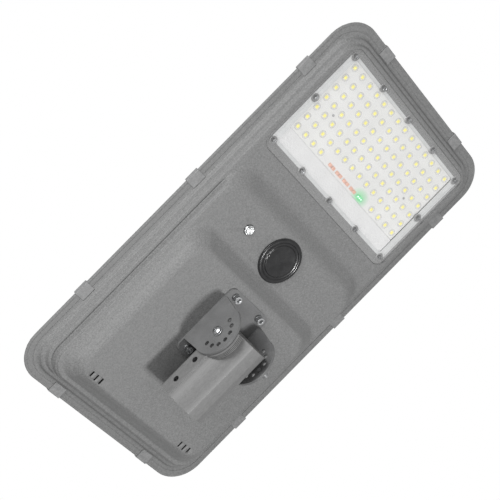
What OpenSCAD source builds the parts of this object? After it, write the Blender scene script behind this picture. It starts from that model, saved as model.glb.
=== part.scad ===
// All-in-one solar street lamp: a shallow weatherproof head with the solar panel on its upper face and
// the LED window underneath, carried on a pole sleeve by a tilting bracket.
// Frame: millimetres, +Z up. The origin is the centre of the pole socket's mouth, the socket runs along +X
// under the head, and the head's LED end points along +X. "Drop" is a depth below the rim plane.

/* [Head] */
// Overall length of the lamp head
head_len = 600; // [560:5:720]
// Overall width of the lamp head
head_w = 344; // [330:2:420]
// Corner radius of the outline
corner_r = 43; // [30:1:60]
// Wall of the lower housing
wall = 2.6; // [2:0.1:3.5]
// Width of the flat rim round the lower housing
rim_w = 15; // [12:0.5:18]
// Thickness of the rim flange
rim_t = 2; // [1.5:0.25:3]
// Drop of the narrow ledge just inside the rim
ledge_drop = 6; // [4:0.5:8]
// Drop of the LED end's face
led_drop = 12; // [11:0.5:16]
// Drop of the sensor face
sensor_drop = 24; // [22:0.5:30]
// Drop of the battery face, which carries the bracket
battery_drop = 42; // [40:0.5:52]
// Length of the flat sensor face
sensor_len = 67.6; // [66:1:90]
// Length of the slope from the LED face to the sensor face
slope_a = 22; // [15:1:30]
// Length of the slope from the sensor face to the battery face
slope_b = 18.4; // [12:1:26]

/* [Lens and LEDs] */
// Length of the lens cover, along the head
lens_len = 167.5; // [150:0.5:180]
// Border between the head's end and the lens recess
lens_end = 29; // [28:0.5:36]
// Border between the head's long sides and the lens recess
lens_side = 30.5; // [30:0.5:40]
// Plain face between the lens recess and the first slope
apron = 30.5; // [20:0.5:50]
// Thickness of the lens flange
lens_t = 2.8; // [2:0.1:4]
// Rows of LEDs along the head
led_rows = 7; // [4:1:8]
// Columns of LEDs across the head
led_cols = 14; // [8:1:18]
// LEDs left out of the innermost row, for the charge indicators
led_gap = 6; // [2:2:8]
// Side of one LED package
led_size = 3; // [2:0.1:4]

/* [Solar panel] */
// Height of the panel frame above the gasket
frame_h = 9; // [8:0.5:14]
// Width of the frame's flat lip beyond its bevel
lip_w = 3; // [2:0.5:6]
// Thickness of the glass
glass_t = 3.2; // [2.5:0.1:4]
// Cells along the head
cell_cols = 7; // [4:1:10]
// Cells across the head
cell_rows = 3; // [2:1:6]

/* [Pole sleeve and bracket] */
// Bore of the pole socket
sleeve_bore = 61; // [50:0.5:76]
// Wall of the pole sleeve
sleeve_wall = 3.4; // [3:0.1:6]
// From the socket's mouth to the tilt pivot
mouth_to_pivot = 97; // [85:1:125]
// From the tilt pivot to the sleeve's closed end
pivot_to_end = 16; // [12:1:22]
// Thickness of the bracket's base plate
plate_t = 3; // [2.5:0.25:5]
// Thickness of the bracket's ears
ear_t = 4; // [3:0.25:6]
// Length of the bracket's base plate
plate_len = 105; // [100:1:130]
// From the battery face's front edge to the tilt pivot
pivot_back = 64; // [62:1:80]
// Radius of the circle of angle holes
lock_r = 19.75; // [18:0.25:22]
// Angle between two angle holes
lock_step = 30; // [15:15:45]
// Nominal diameter of the bracket's bolts
bolt_d = 6; // [5:1:8]

/* [Sensor and switch] */
// Diameter of the round sensor cover
cover_d = 63.4; // [50:0.2:64]
// How far the sensor cover stands proud
cover_h = 3; // [2:0.25:5]
// Diameter of the switch's bezel
bezel_d = 13.7; // [12:0.1:18]
// Distance of the switch from the head's centre line
switch_y = 70.4; // [55:0.2:90]
// Travel of the push button
button_travel = 1.5; // [0.5:0.1:2]

/* [Battery] */
// Diameter of one battery cell
cell_d = 32; // [26:0.5:34]
// Length of one battery cell
cell_l = 69.5; // [60:0.5:71]

/* [Hidden] */
$fn = 48;
fn_hull = 32;
e = 0.01;
run_gap = 0.3;      // between faces that slide past each other
fit_gap = 0.06;     // radial, round pivot bolts
seat_gap = 0.3;     // round pieces that drop into a pocket
thread_gap = 0.05;  // radial, round screws in their holes
gasket_t = 1;

// sleeve and bracket
sleeve_r = sleeve_bore/2 + sleeve_wall;
side_flat = sleeve_r + 0.9;              // flat bosses for the set screws
side_flat_h = 20;
top_flat = sleeve_r - 0.9;               // flat lands above and below
hub_face = side_flat + 0.4;
hub_r = sleeve_r - 1.4;
hub_w = 7;
end_wall = 3;
ear_in = hub_face + run_gap;
ear_out = ear_in + ear_t;
ear_r = hub_r + 2;
ear_sink = 5.5;                          // centre of the ear's arc, from the pivot towards the plate
ear_half = ear_r + 3.2;                  // half the ear's length at the plate
plate_gap = 0.5;                         // sleeve's corner over the plate as the head tilts
pivot_h = ceil(norm([pivot_to_end, sleeve_r]) + plate_gap + plate_t);
plate_r = 9;
bolt_x = plate_len/2 - 8.9;
bolt_y = ear_in - 10.3;
bolt_r = bolt_d/2;
boss_r = lock_r - bolt_r - 4.75;         // small boss under the far ear, inside the lock bolt's circle
bolt_head_r = bolt_d*0.83;
washer_t = 1.6;
lock_holes = 180/lock_step;
lock_groove = 1.6;

// head, with its long axis along X
pivot_x = mouth_to_pivot;
rim_z = pivot_h + battery_drop;
front_x = pivot_x + pivot_back;                       // front edge of the battery face
sensor_x = [front_x + slope_b, front_x + slope_b + sensor_len];
lens_x0 = sensor_x[1] + slope_a + apron;
lens_x1 = lens_x0 + lens_len;
head_x1 = lens_x1 + lens_end;
head_x0 = head_x1 - head_len;
ledge_in = rim_w + 2;
led_in = rim_w + 8;
sensor_in = rim_w + 15;
sensor_end_in = rim_w + 11;
battery_in = [rim_w + 22, rim_w + 37];                // foot and top, at the long sides
battery_end_in = [rim_w + 19.4, rim_w + 34];          // foot and top, at the end
shell_top = rim_z + rim_t;
function at(drop) = rim_z - drop;

// lens and board
recess_d = lens_t + 0.2;
seat_t = 3;                                           // ring that the lens flange is screwed to
seat_w = 15.5;
lens_hw = head_w/2 - lens_side;
win_x = [lens_x0 + seat_w, lens_x1 - seat_w + 3.5];
win_hw = lens_hw - seat_w + 1;
seat_drop = led_drop - recess_d;
sink_t = 3;
board_t = 1.6;
board_split = 23.5;                                   // strip beside the board
board_x = [win_x[0] + board_split, win_x[1] - 1];
board_hw = win_hw - 1;
board_drop = seat_drop - seat_t + board_t;
led_edge = [7.5, 8.5];
led_pitch = [(board_x[1] - board_x[0] - 2*led_edge[0])/(led_rows - 1),
             2*(board_hw - led_edge[1])/(led_cols - 1)];
bar_pitch = 17.25;
screw_in = 9.2;
screw_r = 1.5;

// panel
frame_z0 = shell_top + gasket_t;
frame_z1 = frame_z0 + frame_h;
bevel_in = 10;
glass_in = bevel_in + lip_w;
shelf_w = 6;
glass_z0 = frame_z1 - 0.2 - glass_t;
seal_t = 0.6;
laminate_t = 0.4;
pv_in = glass_in + shelf_w + 7;
pv_gap = 2.5;

// sensor, switch, battery, electronics
sensor_at = [sensor_x[0] + sensor_len*0.49, 0];
skirt_r = cover_d/2 - 5.7;
switch_at = [sensor_at[0], -switch_y];
barrel_r = bezel_d/2 - 0.9;
button_r = bezel_d/2 - 2.1;
bezel_t = 1.4;
floor_z = at(battery_drop - wall);
sensor_floor_z = at(sensor_drop - wall);
battery_x = [head_x0 + battery_end_in[1], front_x];
cell_gap = 1;
cell_n = floor((battery_x[1] - battery_x[0] - 2*wall - 8)/(cell_d + cell_gap));
cell_x0 = (battery_x[0] + battery_x[1] - (cell_n - 1)*(cell_d + cell_gap))/2;
cell_z = floor_z + cell_d/2 + 1.8;
cell_y = head_w/2 - battery_in[1] - wall - cell_l - 4.1;
comb_t = 4;
vent_at = [battery_x[0] + 7, 91.8];
pcb = [60, 80];
pcb_at = [sensor_x[0] + 2.4, 44];

// ---- shared shapes ----

// Rounded rectangle from x0 to x1, centred on the X axis
module plan(x0, x1, hw, r) {
    translate([x0 + r, -hw]) square([x1 - x0 - 2*r, 2*hw]);
    translate([x0, r - hw]) square([x1 - x0, 2*(hw - r)]);
    for (x = [x0 + r, x1 - r], y = [r - hw, hw - r]) translate([x, y]) circle(r);
}

// Outline of the head, drawn in by a distance
module outline(inset) {
    plan(head_x0 + inset, head_x1 - inset, head_w/2 - inset, corner_r - inset*0.6);
}

// Ring between two insets of the head's outline
module outline_ring(inset, width, z0, z1) {
    translate([0, 0, z0]) linear_extrude(z1 - z0) difference() {
        outline(inset);
        outline(inset + width);
    }
}

module ring(r_out, r_in, t) {
    difference() {
        cylinder(r = r_out, h = t);
        translate([0, 0, -1]) cylinder(r = r_in, h = t + 2);
    }
}

// Places children with their +Z along +Y (side = 1) or -Y (side = -1)
module along_y(side) {
    rotate([-90*side, 0, 0]) children();
}

// Cap screw standing on z = 0, head up, shank down
module cap_screw(r, head_r, head_h, length) {
    difference() {
        union() {
            cylinder(r = head_r, h = head_h);
            translate([0, 0, -length]) cylinder(r = r, h = length + e);
        }
        translate([0, 0, head_h*0.4]) cylinder(r = r*0.95, h = head_h, $fn = 6);
    }
}

// Insulated lead swept along a list of points: one ring of points at each, carried along without twist
lead_sides = 8;

function unit(v) = v/norm(v);
function square_to(v, dir) = unit(v - (v*dir)*dir);
function ring_side(dirs, i) = square_to(i > 0 ? ring_side(dirs, i - 1) : [0.2, 0.3, 0.9], dirs[i]);
function ring_points(at_point, dir, side, r) =
    [for (k = [0 : lead_sides - 1]) at_point + r*(side*cos(k*360/lead_sides)
        + cross(dir, side)*sin(k*360/lead_sides))];

module lead(points, r) {
    last = len(points) - 1;
    dirs = [for (i = [0 : last]) unit(unit(points[min(i + 1, last)] - points[min(i, last - 1)])
        + unit(points[max(i, 1)] - points[max(i - 1, 0)]))];
    rings = [for (i = [0 : last]) each ring_points(points[i], dirs[i], ring_side(dirs, i), r)];
    start_cap = [for (k = [0 : lead_sides - 1]) k];
    end_cap = [for (k = [lead_sides - 1 : -1 : 0]) last*lead_sides + k];
    walls = [for (i = [0 : last - 1], k = [0 : lead_sides - 1], half = [0, 1])
        let (a = i*lead_sides + k, b = i*lead_sides + (k + 1) % lead_sides)
            half ? [a, a + lead_sides, b + lead_sides] : [a, b + lead_sides, b]];
    polyhedron(points = rings, faces = concat([start_cap], walls, [end_cap]));
}

// ---- pole sleeve ----

module sleeve_section() {
    intersection() {
        circle(sleeve_r);
        square([4*sleeve_r, 2*top_flat], center = true);
    }
    square([2*side_flat, side_flat_h], center = true);
}

// Round hub under the near ear, with a ribbed rim
module hub() {
    rib = 1.1;
    rib_d = 0.9;
    rotate_extrude() difference() {
        translate([0, -hub_w]) square([hub_r, hub_w]);
        for (i = [0 : 2])
            translate([hub_r - rib_d, -hub_w + rib*(1 + 2*i)]) square([rib_d + 1, rib*0.8]);
    }
}

// Ring groove that the lock bolt's tip runs in as the head tilts
module lock_track() {
    rotate_extrude($fn = 96) translate([lock_r - bolt_r - 0.4, -lock_groove])
        square([2*bolt_r + 0.8, lock_groove + 1]);
}

module pole_sleeve() {
    color("#7d7e7e") difference() {
        union() {
            rotate([90, 0, 90]) linear_extrude(mouth_to_pivot + pivot_to_end) sleeve_section();
            intersection() {
                translate([pivot_x, -hub_face, 0]) along_y(-1) hub();
                translate([0, -2*hub_face, -2*hub_r])
                    cube([mouth_to_pivot + pivot_to_end, 4*hub_face, 4*hub_r]);
            }
            translate([pivot_x, hub_face, 0]) along_y(-1) cylinder(r = boss_r, h = hub_w);
        }
        translate([-1, 0, 0]) rotate([0, 90, 0])
            cylinder(r = sleeve_bore/2, h = mouth_to_pivot + pivot_to_end - end_wall + 1, $fn = 96);
        for (s = [-1, 1]) {
            translate([pivot_x, 0, 0]) along_y(s) cylinder(r = bolt_r + thread_gap, h = 2*hub_face);
            for (x = set_screw_x) translate([x, 0, 0]) along_y(s) cylinder(r = set_r, h = 2*hub_face);
        }
        translate([pivot_x, hub_face, 0]) along_y(1) lock_track();
        for (a = [0 : 90 : 270]) translate([pivot_x + lock_r*cos(a), -hub_face, lock_r*sin(a)])
            along_y(1) cylinder(r = bolt_r*0.85, h = lock_groove + 1.6);
    }
}
set_r = 4;
set_screw_x = [mouth_to_pivot*0.2, mouth_to_pivot*0.54];

module set_screws() {
    color("#4a4a4c") for (s = [-1, 1], x = set_screw_x)
        translate([x, s*(sleeve_bore/2 + 0.5), 0]) along_y(s) difference() {
            cylinder(r = set_r - thread_gap, h = side_flat - sleeve_bore/2 - 1);
            translate([0, 0, 1.5]) cylinder(r = 2, h = 9, $fn = 6);
        }
}

pivot_head_y = ear_out + run_gap + washer_t;

module pivot_bolts() {
    color("#b9bbbd") for (s = [-1, 1]) translate([pivot_x, s*pivot_head_y, 0]) along_y(s) {
        difference() {
            rotate_extrude() intersection() {
                translate([0, -4.6]) circle(r = 9, $fn = 64);
                square([bolt_d*0.96, 9]);
            }
            translate([0, 0, 1.6]) cylinder(r = 2, h = 9, $fn = 6);
        }
        translate([0, 0, sleeve_bore/2 + 0.4 - pivot_head_y])
            cylinder(r = bolt_r, h = pivot_head_y - sleeve_bore/2 - 0.4 + e);
    }
}

module pivot_washers() {
    color("#9a9c9e") for (s = [-1, 1]) translate([pivot_x, s*(pivot_head_y - washer_t), 0]) along_y(s)
        ring(bolt_d*1.1, bolt_r + thread_gap, washer_t);
}

// ---- bracket ----

module ear_outline() {
    translate([0, ear_sink]) circle(ear_r, $fn = 96);
    polygon([[-ear_half, pivot_h], [ear_half, pivot_h], [ear_r - 0.1, ear_sink + 2.5],
        [0.1 - ear_r, ear_sink + 2.5]]);
}

module bracket() {
    color("#6c6d6e") difference() {
        union() {
            translate([0, 0, pivot_h - plate_t]) linear_extrude(plate_t)
                plan(pivot_x - plate_len/2, pivot_x + plate_len/2, ear_out, plate_r);
            for (s = [-1, 1]) translate([pivot_x, s > 0 ? ear_out : -ear_in, 0]) rotate([90, 0, 0])
                linear_extrude(ear_t) ear_outline();
        }
        bolt_places() translate([0, 0, pivot_h - plate_t - 1])
            cylinder(r = bolt_r + 0.3, h = plate_t + 2);
        for (s = [-1, 1]) {
            translate([pivot_x, s*(ear_in - 1), 0]) along_y(s)
                cylinder(r = bolt_r + fit_gap, h = ear_t + 2);
            for (i = [0 : lock_holes])
                translate([pivot_x + lock_r*cos(i*lock_step), s*(ear_in - 1), -lock_r*sin(i*lock_step)])
                    along_y(s) cylinder(r = bolt_r + 0.1, h = ear_t + 2);
        }
    }
}

module bolt_places() {
    for (x = [-bolt_x, bolt_x], y = [-bolt_y, bolt_y]) translate([pivot_x + x, y, 0]) children();
}

nut_t = 5;
backing_t = 3;

module bracket_bolts() {
    color("#b9bbbd") bolt_places() translate([0, 0, pivot_h - plate_t - washer_t]) rotate([180, 0, 0])
        cap_screw(bolt_r, bolt_head_r, bolt_d, washer_t + plate_t + wall + backing_t + nut_t + 1.5);
}

module spring_washers() {
    color("#8f9193") bolt_places() translate([0, 0, pivot_h - plate_t - washer_t]) difference() {
        ring(bolt_d*0.9, bolt_r + thread_gap, washer_t);
        translate([bolt_r - 1, -0.4, -1]) cube([bolt_d, 0.8, washer_t + 2]);
    }
}

module backing_plate() {
    color("#a5a7a8") difference() {
        translate([0, 0, floor_z]) linear_extrude(backing_t)
            plan(pivot_x - plate_len/2 + 1, pivot_x + plate_len/2 - 1, ear_out - 5, plate_r);
        bolt_places() translate([0, 0, floor_z - 1]) cylinder(r = bolt_r + 0.3, h = backing_t + 2);
    }
}

module bracket_nuts() {
    color("#b9bbbd") bolt_places() translate([0, 0, floor_z + backing_t]) difference() {
        cylinder(r = bolt_d*0.96, h = nut_t, $fn = 6);
        translate([0, 0, -1]) cylinder(r = bolt_r + thread_gap, h = nut_t + 2);
    }
}

// Lock bolt through the middle angle hole of one ear; its tip runs in the hub's ring groove
lock_stack = 2.6;
lock_head = 7;

module lock_place() {
    translate([pivot_x, ear_out, -lock_r]) along_y(1) children();
}

module lock_bolt() {
    color("#c2c4c6") lock_place() translate([0, 0, lock_stack])
        cap_screw(bolt_r, bolt_d*0.75, lock_head, lock_stack + ear_t + run_gap + lock_groove - 0.5);
}

module lock_washers() {
    color("#8f9193") lock_place() ring(bolt_d*0.9, bolt_r + thread_gap, lock_stack);
}

// ---- lower housing ----

module block(inset, drop0, drop1) {
    translate([0, 0, at(drop1)]) linear_extrude(drop1 - drop0) outline(inset);
}

module slab(x0, x1, hw, r, drop) {
    translate([0, 0, at(drop)]) linear_extrude(e) plan(x0, x1, hw, r, $fn = fn_hull);
}

// Raised island of the sensor face, with its front slope; t shrinks it by a wall for the hollow
module sensor_island(t) {
    hw = head_w/2 - sensor_in - t;
    x0 = head_x0 + sensor_end_in + t;
    hull() {
        slab(x0 - (t ? 0 : 2), sensor_x[1] + slope_a - t, hw, corner_r - 14, led_drop - t - 1);
        slab(x0, sensor_x[1] - t*0.6, hw, corner_r - 14, sensor_drop - t);
    }
}

// Raised island of the battery face
module battery_island(t) {
    hull() {
        slab(head_x0 + battery_end_in[0] + t, sensor_x[0] - t*0.5, head_w/2 - battery_in[0] - t,
            corner_r - 16, sensor_drop - t - 1);
        slab(battery_x[0] + t, front_x - t, head_w/2 - battery_in[1] - t, corner_r - 20,
            battery_drop - t);
    }
}

module lens_screw_places() {
    x = [lens_x0 + screw_in + 2.8, lens_x1 - screw_in + 0.7];
    y = lens_hw - screw_in - 1.8;
    for (i = [-1.5 : 1.5], s = [0, 1])
        translate([abs(i) > 1 ? x[s] - (s ? 3 : 0) : x[s], i*y/1.5, 0])
            if (abs(i) > 1) children();
    for (s = [0, 1], j = [-1 : 1]) translate([x[s], j*y/2, 0]) children();
    for (s = [-1, 1]) translate([(x[0] + x[1])/2, s*y, 0]) children();
}

module lower_housing() {
    color("#828383") difference() {
        union() {
            translate([0, 0, rim_z]) linear_extrude(rim_t) outline(0);
            block(ledge_in, -e, ledge_drop);
            block(led_in, 0, led_drop);
            sensor_island(0);
            battery_island(0);
        }
        difference() {
            union() {
                translate([0, 0, at(ledge_drop - wall)]) linear_extrude(shell_top) outline(ledge_in + wall);
                block(led_in + wall, 0, led_drop - wall);
                sensor_island(wall);
                battery_island(wall);
            }
            lens_seat();
            switch_boss();
        }
        translate([0, 0, at(led_drop) - 1]) linear_extrude(recess_d + 1)
            plan(lens_x0, lens_x1, lens_hw, 14);
        translate([0, 0, at(led_drop)]) linear_extrude(led_drop) plan(win_x[0], win_x[1], win_hw, 4);
        lens_screw_places() translate([0, 0, at(seat_drop) - 1]) cylinder(r = screw_r, h = seat_t + 2);
        bolt_places() translate([0, 0, pivot_h - 1]) cylinder(r = bolt_r + 0.3, h = wall + 2);
        translate([sensor_at[0], sensor_at[1], at(sensor_drop) - 1])
            cylinder(r = skirt_r + seat_gap, h = wall + 2, $fn = 96);
        translate([switch_at[0], switch_at[1], at(sensor_drop) - 1])
            cylinder(r = barrel_r + seat_gap, h = 2*wall + 4);
        vent_slots(wall + 2);
    }
}

// Ring inside the window that the lens flange is screwed down to
module lens_seat() {
    translate([0, 0, at(led_drop)]) linear_extrude(recess_d + seat_t)
        plan(lens_x0 - wall, lens_x1 + wall, lens_hw + wall, 14 + wall);
}

module switch_boss() {
    translate([switch_at[0], switch_at[1], at(sensor_drop)]) cylinder(r = barrel_r + 4, h = wall + 1);
}

module vent_slots(h) {
    for (s = [-1, 1], i = [-1 : 1]) translate([vent_at[0], s*vent_at[1] + i*8.9, at(battery_drop) - 1])
        linear_extrude(h) {
            square([6, 2.3], center = true);
            for (x = [-3, 3]) translate([x, 0]) circle(1.15);
        }
}

module vent_membranes() {
    color("#e9e9e4") for (s = [-1, 1]) translate([vent_at[0] + 1.2, s*vent_at[1], floor_z])
        linear_extrude(0.6) square([8.4, 24], center = true);
}

module rim_gasket() {
    color("#26272a") outline_ring(5, 4, shell_top, frame_z0);
}

// ---- panel ----

module panel_frame() {
    color("#7a7b7c") difference() {
        hull() {
            translate([0, 0, frame_z0]) linear_extrude(1) outline(0.8, $fn = fn_hull);
            translate([0, 0, frame_z1 - e]) linear_extrude(e) outline(bevel_in, $fn = fn_hull);
        }
        translate([0, 0, glass_z0 - seal_t]) linear_extrude(frame_h) outline(glass_in);
        translate([0, 0, frame_z0 - 1]) linear_extrude(frame_h) outline(glass_in + shelf_w);
    }
}

module glass_gasket() {
    color("#1f2023") outline_ring(glass_in + 0.5, shelf_w - 1.5, glass_z0 - seal_t, glass_z0);
}

module solar_glass() {
    color("#9fb3bf") translate([0, 0, glass_z0]) linear_extrude(glass_t) outline(glass_in + seat_gap);
}

module solar_cells() {
    w = [(head_len - 2*pv_in - (cell_cols - 1)*pv_gap)/cell_cols,
        (head_w - 2*pv_in - (cell_rows - 1)*pv_gap)/cell_rows];
    cut = 9;
    color("#16213c") for (i = [0 : cell_cols - 1], j = [0 : cell_rows - 1])
        translate([head_x0 + pv_in + i*(w[0] + pv_gap), pv_in - head_w/2 + j*(w[1] + pv_gap),
            glass_z0 - laminate_t]) linear_extrude(laminate_t)
            polygon([[cut, 0], [w[0] - cut, 0], [w[0], cut], [w[0], w[1] - cut], [w[0] - cut, w[1]],
                [cut, w[1]], [0, w[1] - cut], [0, cut]]);
}

module backsheet() {
    color("#e8e9ea") translate([0, 0, glass_z0 - 2*laminate_t]) linear_extrude(laminate_t)
        outline(glass_in + shelf_w + seat_gap);
}

// Terminal box glued under the back sheet
module junction_box() {
    color("#232427") translate([sensor_x[1], -head_w/4, glass_z0 - 2*laminate_t - 6]) linear_extrude(6)
        square([34, 26]);
}

// One clip at the origin: the rim's outer face is the plane x = 0 and the head lies towards -x
clip_l = 20;
clip_t = 1.3;

module edge_clip() {
    z0 = rim_z;
    z1 = frame_z0 + 1;
    rotate([90, 0, 0]) translate([0, 0, -clip_l/2]) linear_extrude(clip_l)
        polygon([[0.15, z0 - 0.15], [0.15, z1], [-4, z1 + 4.6], [-4, z1 + 6.2], [clip_t, z1 + 0.6],
            [clip_t, z0 - clip_t + 0.5], [clip_t - 0.5, z0 - clip_t], [-rim_w + 1.2, z0 - clip_t],
            [-rim_w + 1.2, z0 - 0.15]]);
}

module edge_clips() {
    color("#8b8c8c") {
        for (s = [-1, 1], i = [-1 : 1])
            translate([(head_x0 + head_x1)/2 + 15 + i*head_len*0.32, s*head_w/2, 0])
                rotate([0, 0, 90*s]) edge_clip();
        for (s = [-1, 1], y = [-1, 1]) translate([s > 0 ? head_x1 : head_x0, y*head_w*0.262, 0])
            rotate([0, 0, s > 0 ? 0 : 180]) edge_clip();
    }
}

// ---- lens, board and LEDs ----

pane_in = 4;
pane_up = 1.6;

module lens_cover() {
    color([0.85, 0.9, 0.92, 0.5]) difference() {
        union() {
            translate([0, 0, at(seat_drop + lens_t)]) linear_extrude(lens_t - gasket_lens)
                plan(lens_x0 + seat_gap, lens_x1 - seat_gap, lens_hw - seat_gap, 13.5);
            translate([0, 0, at(led_drop + pane_up)]) linear_extrude(pane_up + 1)
                plan(win_x[0] + pane_in - 2, win_x[1] - pane_in + 2, win_hw - pane_in + 2, 6);
        }
        translate([0, 0, at(led_drop + pane_up) + 2]) linear_extrude(lens_t + 2)
            plan(win_x[0] + pane_in, win_x[1] - pane_in, win_hw - pane_in, 4);
        lens_screw_places() translate([0, 0, at(led_drop + 2)]) cylinder(r = screw_r + 0.2, h = lens_t + 4);
    }
}
gasket_lens = 0.8;

module lens_gasket() {
    color("#55585a") difference() {
        translate([0, 0, at(seat_drop + gasket_lens)]) linear_extrude(gasket_lens) difference() {
            plan(lens_x0 + 2, lens_x1 - 2, lens_hw - 2, 12);
            plan(win_x[0] + 1, win_x[1] - 1, win_hw - 1, 4);
        }
        lens_screw_places() translate([0, 0, at(led_drop + 2)]) cylinder(r = screw_r + 0.2, h = lens_t + 4);
    }
}

module lens_screws() {
    head_z = at(seat_drop + lens_t);
    color("#c6c8ca") lens_screw_places() translate([0, 0, head_z]) difference() {
        union() {
            translate([0, 0, -1.8]) cylinder(r = 2.8, h = 1.8);
            cylinder(r = screw_r - thread_gap, h = lens_t + seat_t - 0.6);
        }
        for (a = [0, 90]) rotate([0, 0, a]) translate([-1.6, -0.35, -2]) cube([3.2, 0.7, 1.1]);
    }
}

module heat_sink() {
    color("#b4b7b9") translate([0, 0, at(seat_drop - seat_t)]) linear_extrude(sink_t)
        plan(win_x[0] - 6, win_x[1] + 6, win_hw + 6, 6);
}

module led_board() {
    color("#f2f2ee") translate([0, 0, at(board_drop)]) difference() {
        linear_extrude(board_t) plan(board_x[0], board_x[1], board_hw, 2);
        board_screw_places() translate([0, 0, -1]) cylinder(r = 1.4, h = board_t + 2);
    }
}

module board_screw_places() {
    for (s = [-1, 1]) translate([board_x[0] + led_edge[0] + 2.5*led_pitch[0], s*4.97*led_pitch[1], 0])
        children();
}

module board_screws() {
    color("#6d6f71") board_screw_places() translate([0, 0, at(board_drop)]) {
        translate([0, 0, -0.9]) cylinder(r = 1.6, h = 0.9);
        cylinder(r = 1.3, h = board_t - 0.1);
    }
}

module led_places() {
    for (i = [0 : led_rows - 1], j = [0 : led_cols - 1])
        if (i > 0 || abs(j - (led_cols - 1)/2) > led_gap/2)
            translate([board_x[0] + led_edge[0] + i*led_pitch[0],
                (j - (led_cols - 1)/2)*led_pitch[1], at(board_drop)]) children();
}

module led_chips() {
    color("#f0d84a") led_places() translate([-led_size/2, -led_size/2, -0.8])
        cube([led_size, led_size, 0.8]);
}

module indicator(k) {
    translate([board_x[0] + led_edge[0] - 2, (k - 2)*bar_pitch, at(board_drop)])
        translate([-2, -5.5, -1.2]) cube([4, 11, 1.2]);
}

module charge_leds() {
    color("#e8855e") for (k = [0 : 3]) indicator(k);
}

module run_led() {
    color("#35c46a") indicator(4);
}

module diffuser_strip() {
    color("#ecebe8") translate([0, 0, at(board_drop + 0.6)]) linear_extrude(board_t + 0.6)
        plan(win_x[0] + 1, board_x[0] - 0.5, board_hw, 2);
}

// ---- sensor and switch ----

module sensor_cover() {
    z = at(sensor_drop);
    color("#27282a") translate([sensor_at[0], sensor_at[1], z]) {
        difference() {
            rotate_extrude($fn = 96) {
                translate([0, -cover_h + 0.7]) square([cover_d/2 - 5, 1.4]);
                polygon([[cover_d/2 - 7, -cover_h + 0.9], [cover_d/2 - 5, -cover_h],
                    [cover_d/2 - 1.2, -cover_h], [cover_d/2, -cover_h + 1], [cover_d/2, -0.8],
                    [cover_d/2 - 7, -0.8]]);
                translate([skirt_r - 2, -1]) square([2, 7]);
            }
            for (a = [0 : 6 : 354]) rotate([0, 0, a]) translate([cover_d/2 + 0.15, 0, -cover_h])
                cylinder(r = 0.55, h = cover_h, $fn = 8);
        }
    }
}

module sensor_seal() {
    color("#3a3b3d") translate([sensor_at[0], sensor_at[1], at(sensor_drop + 0.8)])
        ring(cover_d/2 - 1, skirt_r + 0.5, 0.8);
}

module sensor_board() {
    color("#2f6b46") translate([sensor_at[0], sensor_at[1], sensor_floor_z])
        cylinder(r = skirt_r - 2 - 0.2, h = 1.6);
}

module switch_body() {
    color("#aeb0b2") translate([switch_at[0], switch_at[1], at(sensor_drop)]) rotate_extrude() {
        translate([button_r + 0.15, -0.6 - bezel_t]) square([bezel_d/2 - button_r - 0.15, bezel_t]);
        translate([button_r + 0.9, -1]) square([barrel_r - button_r - 0.9, 12]);
        translate([0, 7]) square([barrel_r, 5]);
    }
}

module button_cap() {
    color("#d3d5d6") translate([switch_at[0], switch_at[1], at(sensor_drop)]) rotate_extrude() {
        translate([0, -bezel_t - 1.5]) square([button_r, 3.4]);
        translate([0, -0.5]) square([button_r + 0.6, 2.4]);
    }
}

module switch_seal() {
    color("#1f2022") translate([switch_at[0], switch_at[1], at(sensor_drop + 0.6)])
        ring(bezel_d/2 + 0.5, barrel_r + 0.1, 0.6);
}

module switch_nut() {
    color("#b5b7b9") translate([switch_at[0], switch_at[1], at(sensor_drop - wall - 1)]) difference() {
        cylinder(r = barrel_r + 3, h = 2.5, $fn = 6);
        translate([0, 0, -1]) cylinder(r = barrel_r + thread_gap, h = 5);
    }
}

// ---- battery and electronics ----

module cell_places() {
    for (s = [-1, 1], i = [0 : cell_n - 1])
        translate([cell_x0 + i*(cell_d + cell_gap), s*cell_y, cell_z]) along_y(s) children();
}

module battery_cells() {
    color("#3f6fb0") cell_places() {
        cylinder(r = cell_d/2, h = cell_l);
    }
}

// Comb plates under (up = 0) or over (up = 1) each bank of cells
module comb(up) {
    x0 = cell_x0 - cell_d/2 - 1.2;
    length = (cell_n - 1)*(cell_d + cell_gap) + cell_d + 2.4;
    z = up ? cell_z + 1 : floor_z;
    h = up ? cell_d/2 + 1.5 : cell_z - floor_z - 1;
    for (s = [-1, 1], y = [14, cell_l - 6]) translate([0, s*(cell_y + y), 0]) rotate([90, 0, 0])
        translate([0, 0, -comb_t/2]) linear_extrude(comb_t) difference() {
            translate([x0, z]) square([length, h]);
            for (i = [0 : cell_n - 1])
                translate([cell_x0 + i*(cell_d + cell_gap), cell_z]) circle(cell_d/2 + 0.1);
        }
}

module battery_cradles() {
    color("#2c2d30") comb(0);
}

module battery_clamps() {
    color("#34363a") comb(1);
}

module cell_links() {
    length = (cell_n - 1)*(cell_d + cell_gap) + 8;
    color("#c9cbc6") for (s = [-1, 1], y = [cell_y - 0.5, cell_y + cell_l])
        translate([cell_x0 - 4, s > 0 ? y : -y - 0.5, cell_z - 4]) cube([length, 0.5, 8]);
}

module board_posts() {
    color("#2c2d30") for (x = [4, pcb[0] - 4], y = [4, pcb[1] - 4])
        translate([pcb_at[0] + x, pcb_at[1] + y, sensor_floor_z]) cylinder(r = 3, h = 5);
}

module controller_board() {
    color("#23593a") translate([pcb_at[0], pcb_at[1], sensor_floor_z + 5]) cube([pcb[0], pcb[1], 1.6]);
}

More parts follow.
